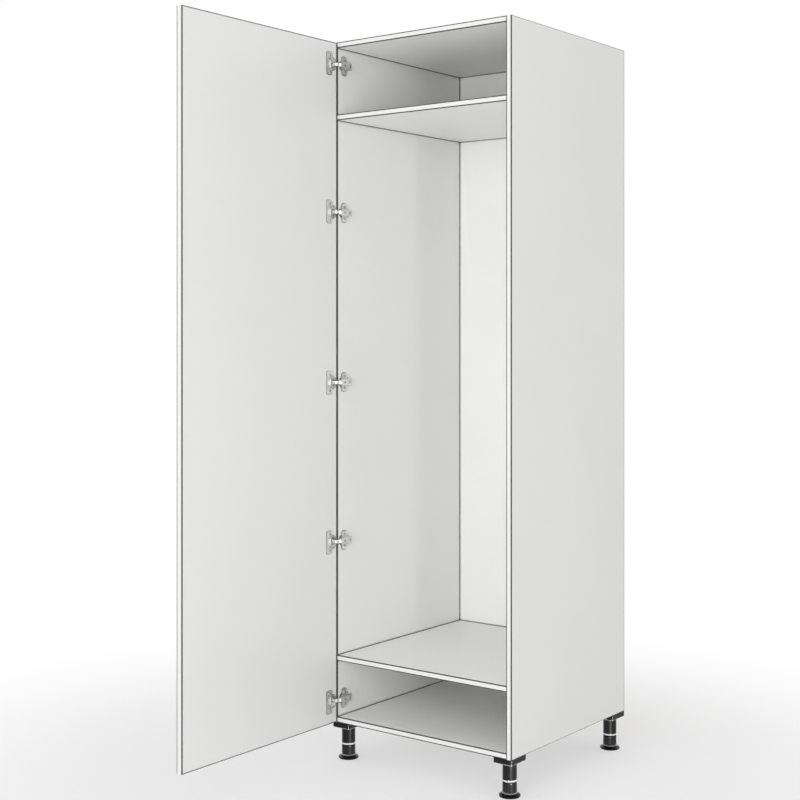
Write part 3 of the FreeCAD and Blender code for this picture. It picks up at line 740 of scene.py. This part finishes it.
class CabinetSizes(bpy.types.PropertyGroup):
    """Sizes of roundings, lines and fittings"""

    board_arris: FloatProperty(
        name="Board Arris",
        description="Rounding of the boards' cut edges",
        default=1.0 * MM,
        subtype="DISTANCE",
        unit="LENGTH",
    )
    arris_line: FloatProperty(
        name="Arris Line",
        description="Reach of the dark line along the arrises of boards and door",
        default=4.0 * MM,
        subtype="DISTANCE",
        unit="LENGTH",
    )
    # Painted shade: ambient occlusion draws this dark line in the corners where boards meet.
    joint_shade_line: FloatProperty(
        name="Joint Line",
        description="Reach of the dark line in the corners where boards meet",
        default=6.5 * MM,
        subtype="DISTANCE",
        unit="LENGTH",
    )
    band_line: FloatProperty(
        name="Band Line",
        description="Width of the dark line along each long side of an edge band",
        default=2.5 * MM,
        subtype="DISTANCE",
        unit="LENGTH",
    )
    metal_arris: FloatProperty(
        name="Metal Arris",
        description="Rounding of the hinges' sheared and cast edges",
        default=0.25 * MM,
        subtype="DISTANCE",
        unit="LENGTH",
    )
    plastic_arris: FloatProperty(
        name="Plastic Arris",
        description="Rounding of the feet's moulded edges",
        default=0.4 * MM,
        subtype="DISTANCE",
        unit="LENGTH",
    )
    flute_arris: FloatProperty(
        name="Flute Arris",
        description="Rounding of the collars' flutes, whose lands are too narrow for more",
        default=0.08 * MM,
        subtype="DISTANCE",
        unit="LENGTH",
    )
    base_height: FloatProperty(
        name="Base Height",
        description="Height of the flared base of a foot, above which its stem begins",
        default=10.5 * MM,
        subtype="DISTANCE",
        unit="LENGTH",
    )
    stem_radius: FloatProperty(
        name="Stem Radius",
        description="Radius over the thread of a foot's stem",
        default=8.0 * MM,
        subtype="DISTANCE",
        unit="LENGTH",
    )
    thread_pitch: FloatProperty(
        name="Thread Pitch",
        description="Rise of the stem's thread in one turn",
        default=4.0 * MM,
        subtype="DISTANCE",
        unit="LENGTH",
    )
    thread_depth: FloatProperty(
        name="Thread Depth",
        description="Depth of the stem's thread",
        default=0.9 * MM,
        subtype="DISTANCE",
        unit="LENGTH",
    )
    thread_steps: IntProperty(
        name="Thread Steps",
        description="Steps in one turn of the stem's thread",
        default=32,
    )
    neck_radius: FloatProperty(
        name="Neck Radius",
        description="Radius of a collar's neck where it enters the sleeve",
        default=15.1 * MM,
        subtype="DISTANCE",
        unit="LENGTH",
    )
    ring_radius: FloatProperty(
        name="Ring Radius",
        description="Outer radius of the slip ring between sleeve and collar",
        default=18.2 * MM,
        subtype="DISTANCE",
        unit="LENGTH",
    )
    ring_height: FloatProperty(
        name="Ring Height",
        description="Gap between sleeve and collar that the slip ring fills",
        default=4.0 * MM,
        subtype="DISTANCE",
        unit="LENGTH",
    )
    ring_play: FloatProperty(
        name="Ring Play",
        description="Clearance all round the slip ring",
        default=0.1 * MM,
        subtype="DISTANCE",
        unit="LENGTH",
    )
    washer_radius: FloatProperty(
        name="Washer Radius",
        description="Outer radius of the washer on a foot's base",
        default=20.8 * MM,
        subtype="DISTANCE",
        unit="LENGTH",
    )
    washer_height: FloatProperty(
        name="Washer Height",
        description="Thickness of the washer on a foot's base",
        default=0.45 * MM,
        subtype="DISTANCE",
        unit="LENGTH",
    )


class CabinetStage(bpy.types.PropertyGroup):
    """Camera, floor and even light"""

    camera_place: FloatVectorProperty(
        name="Camera Place",
        description="Where the camera stands",
        default=(2.2898, -3.06, 1.22267),
        subtype="TRANSLATION",
        unit="LENGTH",
    )
    camera_heading: FloatProperty(
        name="Camera Heading",
        description="Turn of the level camera about the vertical",
        default=math.radians(37.537),
        subtype="ANGLE",
    )
    focal_length: FloatProperty(
        name="Focal Length",
        description="Focal length on a 36 mm wide sensor, in millimetres",
        default=63.655,
    )
    camera_drop: FloatProperty(
        name="Camera Drop",
        description="Vertical shift of the picture, as a share of its width",
        default=-0.0919,
    )
    floor_white: FloatVectorProperty(
        name="Floor",
        description="Colour of the pale floor",
        default=(0.9, 0.9, 0.9),
        subtype="COLOR",
    )
    ambient: FloatProperty(
        name="Ambient",
        description="Strength of the even light from all round",
        default=0.6,
    )


def new_board(name, node, material, sizes):
    """Make a board with its cut edges eased."""
    shape = joined_copy(node)
    round_corners(shape, sizes.board_arris, shortest=BOARD_SHORTEST)
    stand_in(name, node, shape, [material], crease=BOARD_CREASE)


class CABINET_OT_boards(bpy.types.Operator):
    """Make the boards of the carcass"""

    bl_idname = "cabinet.boards"
    bl_label = "Carcass Boards"

    def execute(self, context):
        scene = context.scene
        upright = melamine("white melamine side", scene, AXIS_X)
        level = melamine("white melamine shelf", scene, AXIS_Z)
        for node in SIDES + CROSS_PANELS:
            name = node.replace("_panel", "") + "_board"
            material = upright if node in SIDES else level
            new_board(name, node, material, scene.cabinet_sizes)
        return {"FINISHED"}


class CABINET_OT_edge_bands(bpy.types.Operator):
    """Finish the edge bands of the carcass and the door"""

    bl_idname = "cabinet.edge_bands"
    bl_label = "Edge Bands"

    def execute(self, context):
        scene = context.scene
        for node in SIDE_BANDS:
            dress(node, edge_band(node, scene, SCRAPED_UPRIGHT, AXIS_X, front_share))
        for node in CROSS_BANDS:
            dress(node, edge_band(node, scene, SCRAPED_LEVEL, AXIS_Z, front_share))
        rim = "door_edge_bands"
        dress(rim, edge_band(rim, scene, SCRAPED_UPRIGHT, AXIS_X, rim_share))
        return {"FINISHED"}


class CABINET_OT_back_panel(bpy.types.Operator):
    """Finish the back panel"""

    bl_idname = "cabinet.back_panel"
    bl_label = "Back Panel"

    def execute(self, context):
        dress("back_panel", hardboard(context.scene))
        return {"FINISHED"}


class CABINET_OT_door(bpy.types.Operator):
    """Make the slab of the door"""

    bl_idname = "cabinet.door"
    bl_label = "Door"

    def execute(self, context):
        scene = context.scene
        material = lacquer(scene)
        new_board("door_slab", "door_panel", material, scene.cabinet_sizes)
        return {"FINISHED"}


def nickel(scene):
    """The plating that all the pieces of the hinges share."""
    name = "nickel steel"
    made = bpy.data.materials.get(name)
    colour = scene.cabinet_colours.nickel
    return made or plated(name, colour, rough=0.4, lines=PRESSED, edge=2.0 * MM)


def new_hinge_pieces(scene, kind, shortest):
    """Make one kind of pressed piece for all the hinges, with its sheared edges rounded."""
    for number in HINGES:
        node = f"{kind}_{number}"
        shape = joined_copy(node)
        round_corners(shape, scene.cabinet_sizes.metal_arris, shortest)
        stand_in(f"{kind}_pressed_{number}", node, shape, [nickel(scene)])


class CABINET_OT_hinge_cups(bpy.types.Operator):
    """Make the hinge cups with their flanges"""

    bl_idname = "cabinet.hinge_cups"
    bl_label = "Hinge Cups"

    def execute(self, context):
        new_hinge_pieces(context.scene, "hinge_cup", CUP_SHORTEST)
        return {"FINISHED"}


class CABINET_OT_hinge_arms(bpy.types.Operator):
    """Make the hinge arms"""

    bl_idname = "cabinet.hinge_arms"
    bl_label = "Hinge Arms"

    def execute(self, context):
        new_hinge_pieces(context.scene, "hinge_arm", ARM_SHORTEST)
        return {"FINISHED"}


class CABINET_OT_hinge_plates(bpy.types.Operator):
    """Make the mounting plates of the hinges"""

    bl_idname = "cabinet.hinge_plates"
    bl_label = "Hinge Plates"

    def execute(self, context):
        new_hinge_pieces(context.scene, "hinge_plate", PLATE_SHORTEST)
        return {"FINISHED"}


class CABINET_OT_fasteners(bpy.types.Operator):
    """Finish the screws, pins, bolts, cams and dowels"""

    bl_idname = "cabinet.fasteners"
    bl_label = "Fasteners"

    def execute(self, context):
        colours = context.scene.cabinet_colours
        steel = plated("zinc steel", colours.zinc, rough=0.34, lines=TUMBLED, edge=0.4 * MM)
        for node in STEEL_FASTENERS:
            dress(node, steel)
        dress("cam_housings", casting(colours))
        dress("wood_dowels", beech(colours))
        return {"FINISHED"}


def foot_plastic(scene):
    """The black plastic that the collars and bases of the feet share, faintly scuffed pale on its
    arrises, partly rubbing and partly painted highlight.
    """
    name = "black plastic"
    made = bpy.data.materials.get(name)
    colours = scene.cabinet_colours
    scuff_and_highlight = [channel / SCUFF_AND_HIGHLIGHT_FADE for channel in colours.scuff_and_highlight]
    return made or black_plastic(name, colours, scuff_and_highlight, reach=0.6 * MM)


def foot_nylon(scene):
    """The nylon that the stems, slip rings and washers share."""
    name = "natural nylon"
    return bpy.data.materials.get(name) or nylon(name, scene.cabinet_colours)


def foot_axis(node):
    """The upright line through the middle of a piece of a foot, as its point at floor height."""
    low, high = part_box(node)
    return Vector(((low.x + high.x) / 2, (low.y + high.y) / 2, 0.0))


class CABINET_OT_foot_sockets(bpy.types.Operator):
    """Make the corner plates with their sleeves"""

    bl_idname = "cabinet.foot_sockets"
    bl_label = "Foot Sockets"

    def execute(self, context):
        scene = context.scene
        colours = scene.cabinet_colours
        # Corner plates with pale arrises: partly rubbing, partly painted highlight.
        rubbed = black_plastic("rubbed black plastic", colours, colours.scuff_and_highlight, reach=3.0 * MM)
        for foot in FEET:
            node = "foot_socket_" + foot
            below_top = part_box(node)[1].z - END_MARGIN
            shape = joined_copy(node)
            round_corners(shape, scene.cabinet_sizes.plastic_arris, highest=below_top)
            stand_in("foot_sleeve_" + foot, node, shape, [rubbed])
        return {"FINISHED"}


class CABINET_OT_foot_collars(bpy.types.Operator):
    """Make the fluted adjusting collars"""

    bl_idname = "cabinet.foot_collars"
    bl_label = "Foot Collars"

    def execute(self, context):
        sizes = context.scene.cabinet_sizes
        material = foot_plastic(context.scene)
        for foot in FEET:
            node = "foot_collar_" + foot
            lower_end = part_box(node)[0].z + END_MARGIN
            shape = joined_copy(node)
            round_corners(shape, sizes.plastic_arris, highest=lower_end)
            round_corners(shape, sizes.flute_arris)
            stand_in("foot_nut_" + foot, node, shape, [material])
        return {"FINISHED"}


def threaded_rod(sizes, low, high):
    """A threaded rod on the Z axis, open at both ends, as a mesh."""
    radius = sizes.stem_radius
    root = radius - sizes.thread_depth
    pitch = sizes.thread_pitch
    # One turn of the thread: radius, and rise as a share of the pitch.
    ridge = ((root, 0.0), (root, 0.2), (radius, 0.45), (radius, 0.65), (root, 0.9), (root, 1.0))
    start = low - pitch
    turns = math.ceil((high - start) / pitch) + 1
    shape = bmesh.new()
    points = [shape.verts.new((across, 0.0, start + rise * pitch)) for across, rise in ridge]
    lines = [shape.edges.new(pair) for pair in zip(points, points[1:])]
    bmesh.ops.spin(
        shape,
        geom=points + lines,
        axis=AXIS_Z,
        cent=ORIGIN,
        dvec=AXIS_Z * (pitch / sizes.thread_steps),
        angle=turns * math.tau,
        steps=turns * sizes.thread_steps,
    )
    bmesh.ops.remove_doubles(shape, verts=shape.verts[:], dist=MERGE)
    cut_level(shape, low, -AXIS_Z)
    cut_level(shape, high, AXIS_Z)
    for face in shape.faces:
        face.material_index = 1
    rod = bpy.data.meshes.new("thread")
    shape.to_mesh(rod)
    shape.free()
    return rod


def new_foot_base(sizes, node):
    """A flared base whose stem has a thread in place of the plain rod; the stem takes the second
    of the piece's two finishes."""
    low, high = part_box(node)
    axis = foot_axis(node)
    stem_low = low.z + sizes.base_height + STEM_ROOT
    thread_low = stem_low + sizes.thread_pitch / 4
    shape = joined_copy(node)
    round_corners(shape, sizes.plastic_arris, highest=stem_low)
    bmesh.ops.translate(shape, verts=shape.verts[:], vec=-axis)
    cut_level(shape, stem_low, AXIS_Z)
    rod = threaded_rod(sizes, thread_low, high.z)
    shape.from_mesh(rod)
    bpy.data.meshes.remove(rod)
    rims = [edge for edge in shape.edges if edge.is_boundary]
    middle = (stem_low + high.z) / 2
    lower = [edge for edge in rims if edge.verts[0].co.z < middle]
    upper = [edge for edge in rims if edge.verts[0].co.z > middle]
    joint = bmesh.ops.bridge_loops(shape, edges=lower)["faces"]
    tip = bmesh.ops.holes_fill(shape, edges=upper, sides=0)["faces"]
    for face in joint + tip:
        face.material_index = 1
    bmesh.ops.recalc_face_normals(shape, faces=shape.faces[:])
    bmesh.ops.translate(shape, verts=shape.verts[:], vec=axis)
    return shape


class CABINET_OT_foot_bases(bpy.types.Operator):
    """Make the flared bases with their threaded stems"""

    bl_idname = "cabinet.foot_bases"
    bl_label = "Foot Bases"

    def execute(self, context):
        scene = context.scene
        materials = [foot_plastic(scene), foot_nylon(scene)]
        for foot in FEET:
            node = "foot_base_" + foot
            shape = new_foot_base(scene.cabinet_sizes, node)
            stand_in("foot_stem_" + foot, node, shape, materials)
        return {"FINISHED"}


def new_ring(axis, inner, outer, low, high, arris):
    """A flat ring round an upright axis with its corners rounded."""
    shape = bmesh.new()
    section = [(inner, low), (outer, low), (outer, high), (inner, high)]
    points = [shape.verts.new((across, 0.0, height)) for across, height in section]
    lines = [shape.edges.new(pair) for pair in zip(points, points[1:] + points[:1])]
    bmesh.ops.spin(
        shape,
        geom=points + lines,
        axis=AXIS_Z,
        cent=ORIGIN,
        angle=math.tau,
        steps=RING_STEPS,
        use_merge=True,
    )
    bmesh.ops.recalc_face_normals(shape, faces=shape.faces[:])
    round_corners(shape, arris)
    bmesh.ops.translate(shape, verts=shape.verts[:], vec=axis)
    return shape


class CABINET_OT_slip_rings(bpy.types.Operator):
    """Make the slip rings above the collars and the washers below them"""

    bl_idname = "cabinet.slip_rings"
    bl_label = "Slip Rings"

    def execute(self, context):
        sizes = context.scene.cabinet_sizes
        play = sizes.ring_play
        material = [foot_nylon(context.scene)]
        for foot in FEET:
            axis = foot_axis("foot_collar_" + foot)
            sleeve_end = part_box("foot_socket_" + foot)[0].z
            base_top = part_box("foot_base_" + foot)[0].z + sizes.base_height
            ring = new_ring(
                axis,
                inner=sizes.neck_radius + play,
                outer=sizes.ring_radius,
                low=sleeve_end - sizes.ring_height + play,
                high=sleeve_end - play,
                arris=sizes.plastic_arris,
            )
            washer = new_ring(
                axis,
                inner=sizes.stem_radius + 2 * play,
                outer=sizes.washer_radius,
                low=base_top,
                high=base_top + sizes.washer_height,
                arris=play,
            )
            place_piece("foot_slip_ring_" + foot, ring, material, "collar_" + foot)
            place_piece("foot_washer_" + foot, washer, material, "base_" + foot)
        return {"FINISHED"}


def set_camera(scene):
    """A level camera whose picture is shifted, so that uprights stay upright."""
    stage = scene.cabinet_stage
    camera = bpy.data.cameras.new("camera")
    camera.lens = stage.focal_length
    camera.sensor_width = SENSOR_WIDTH
    camera.shift_y = stage.camera_drop
    holder = bpy.data.objects.new("camera", camera)
    holder.location = stage.camera_place
    holder.rotation_euler = (math.radians(90), 0.0, stage.camera_heading)
    scene.collection.objects.link(holder)
    scene.camera = holder


def backdrop_rays(wiring):
    """Two masks for the rays that show the white backdrop: one for those straight from the
    camera, one for those mirrored or through glass."""
    rays = wiring.node("LightPath").outputs
    mirrored = wiring.math("MAXIMUM", rays["Is Glossy Ray"], rays["Is Transmission Ray"])
    return rays["Is Camera Ray"], mirrored


def set_world(scene):
    """Even light from all round, white where it is seen."""
    world = bpy.data.worlds.new("studio")
    world.use_nodes = True
    scene.world = world
    wiring = Wiring(world.node_tree)
    seen = wiring.math("MAXIMUM", *backdrop_rays(wiring))
    background = world.node_tree.nodes["Background"].inputs
    background["Color"].default_value = WHITE
    wiring.feed(background["Strength"], wiring.between(seen, scene.cabinet_stage.ambient, 1.0))


def pale_floor(stage):
    """Floor finish that keeps the cabinet's shadow close by and is plain white further off."""
    finish = Finish("pale floor")
    material = finish.surface({"Base Color": opaque(stage.floor_white), "Roughness": 0.9})
    straight, mirrored = backdrop_rays(finish)
    place = finish.object_place()
    distance = finish.node("VectorMath", {0: place}, operation="LENGTH").outputs["Value"]
    fade = finish.eased(distance, *SHADOW_FADE, to_low=0.45)
    share = finish.math("MAXIMUM", finish.math("MULTIPLY", straight, fade), mirrored)
    white = finish.node("Emission", {"Color": WHITE, "Strength": 1.0}).outputs[0]
    blend = finish.node("MixShader", {0: share, 1: finish.shader.outputs[0], 2: white}).outputs[0]
    finish.feed(finish.tree.nodes["Material Output"].inputs["Surface"], blend)
    return material


def set_floor(scene):
    """A wide flat floor under the feet."""
    shape = bmesh.new()
    bmesh.ops.create_grid(shape, x_segments=1, y_segments=1, size=FLOOR_WIDTH / 2)
    mesh = bpy.data.meshes.new("floor")
    shape.to_mesh(mesh)
    shape.free()
    mesh.materials.append(pale_floor(scene.cabinet_stage))
    floor = bpy.data.objects.new("floor", mesh)
    scene.collection.objects.link(floor)


def new_lamp(name, place, aim, size, power):
    """A soft lamp of a width and a height in metres and a power in watts, turned to its aim."""
    lamp = bpy.data.lights.new(name, "AREA")
    lamp.shape = "RECTANGLE"
    lamp.size, lamp.size_y = size
    lamp.energy = power
    holder = bpy.data.objects.new(name, lamp)
    holder.location = place
    holder.rotation_euler = (Vector(aim) - Vector(place)).to_track_quat("-Z", "Y").to_euler()
    bpy.context.scene.collection.objects.link(holder)
    return holder


def light_only(lamp, pieces):
    """Let a lamp that is out of sight light these pieces alone."""
    lit = bpy.data.collections.new(lamp.name + " pieces")
    for piece in pieces:
        lit.objects.link(piece)
    lamp.light_linking.receiver_collection = lit
    lamp.visible_camera = False


def set_lamps(scene):
    """Soft studio light, with one lamp for the feet alone and one for the inside of the carcass."""
    middle = (0.0, 0.2, 1.0)
    new_lamp("key", place=(1.5, -4.4, 1.8), aim=middle, size=(2.4, 2.4), power=42.0)
    new_lamp("low fill", place=(0.9, -4.0, 0.6), aim=(0.0, 0.3, 0.7), size=(2.4, 1.0), power=24.0)
    new_lamp("strip", place=(3.6, -2.2, 1.1), aim=middle, size=(0.35, 2.2), power=20.0)
    new_lamp("overhead", place=(0.0, 0.0, 4.2), aim=ORIGIN, size=(3.0, 3.0), power=16.0)
    accent = new_lamp(
        "foot accent", place=(1.59, -0.87, 0.14), aim=(0.1, 0.2, 0.07), size=(0.08, 0.25), power=160.0
    )
    inner = new_lamp(
        "inner fill", place=(0.1, -2.6, 1.1), aim=(0.0, 0.6, 1.1), size=(0.4, 2.0), power=16.0
    )
    upper_feet = ("foot_sleeve_", "foot_nut_")
    light_only(accent, [piece for piece in scene.objects if piece.name.startswith(upper_feet)])
    boards = [piece for piece in scene.objects if piece.name.endswith("_board")]
    light_only(inner, boards + [NODES["back_panel"]])


class CABINET_OT_stage(bpy.types.Operator):
    """Set up the floor, the light and the camera"""

    bl_idname = "cabinet.stage"
    bl_label = "Stage"

    def execute(self, context):
        scene = context.scene
        scene.view_settings.view_transform = "Standard"
        set_camera(scene)
        set_world(scene)
        set_floor(scene)
        set_lamps(scene)
        return {"FINISHED"}


OPERATORS = (
    CABINET_OT_boards,
    CABINET_OT_edge_bands,
    CABINET_OT_back_panel,
    CABINET_OT_door,
    CABINET_OT_hinge_cups,
    CABINET_OT_hinge_arms,
    CABINET_OT_hinge_plates,
    CABINET_OT_fasteners,
    CABINET_OT_foot_sockets,
    CABINET_OT_foot_collars,
    CABINET_OT_foot_bases,
    CABINET_OT_slip_rings,
    CABINET_OT_stage,
)
SETTINGS = {
    "cabinet_colours": CabinetColours,
    "cabinet_sizes": CabinetSizes,
    "cabinet_stage": CabinetStage,
}


class CABINET_PT_sidebar(bpy.types.Panel):
    """Lists the cabinet's pieces, its stage and their settings"""

    bl_idname = "CABINET_PT_sidebar"
    bl_label = "Fridge Housing Cabinet"
    bl_space_type = "VIEW_3D"
    bl_region_type = "UI"
    bl_category = "Cabinet"

    def draw(self, context):
        for operator in OPERATORS:
            self.layout.operator(operator.bl_idname)
        for name, group in SETTINGS.items():
            column = self.layout.column()
            for setting in group.__annotations__:
                column.prop(getattr(context.scene, name), setting)


CLASSES = (*SETTINGS.values(), *OPERATORS, CABINET_PT_sidebar)


def register():
    for item in CLASSES:
        bpy.utils.register_class(item)
    for name, group in SETTINGS.items():
        setattr(bpy.types.Scene, name, PointerProperty(type=group))


def unregister():
    for name in SETTINGS:
        delattr(bpy.types.Scene, name)
    for item in reversed(CLASSES):
        bpy.utils.unregister_class(item)


def main():
    register()
    bpy.ops.cabinet.boards()
    bpy.ops.cabinet.edge_bands()
    bpy.ops.cabinet.back_panel()
    bpy.ops.cabinet.door()
    bpy.ops.cabinet.hinge_cups()
    bpy.ops.cabinet.hinge_arms()
    bpy.ops.cabinet.hinge_plates()
    bpy.ops.cabinet.fasteners()
    bpy.ops.cabinet.foot_sockets()
    bpy.ops.cabinet.foot_collars()
    bpy.ops.cabinet.foot_bases()
    bpy.ops.cabinet.slip_rings()
    bpy.ops.cabinet.stage()


if __name__ == "__main__":
    main()
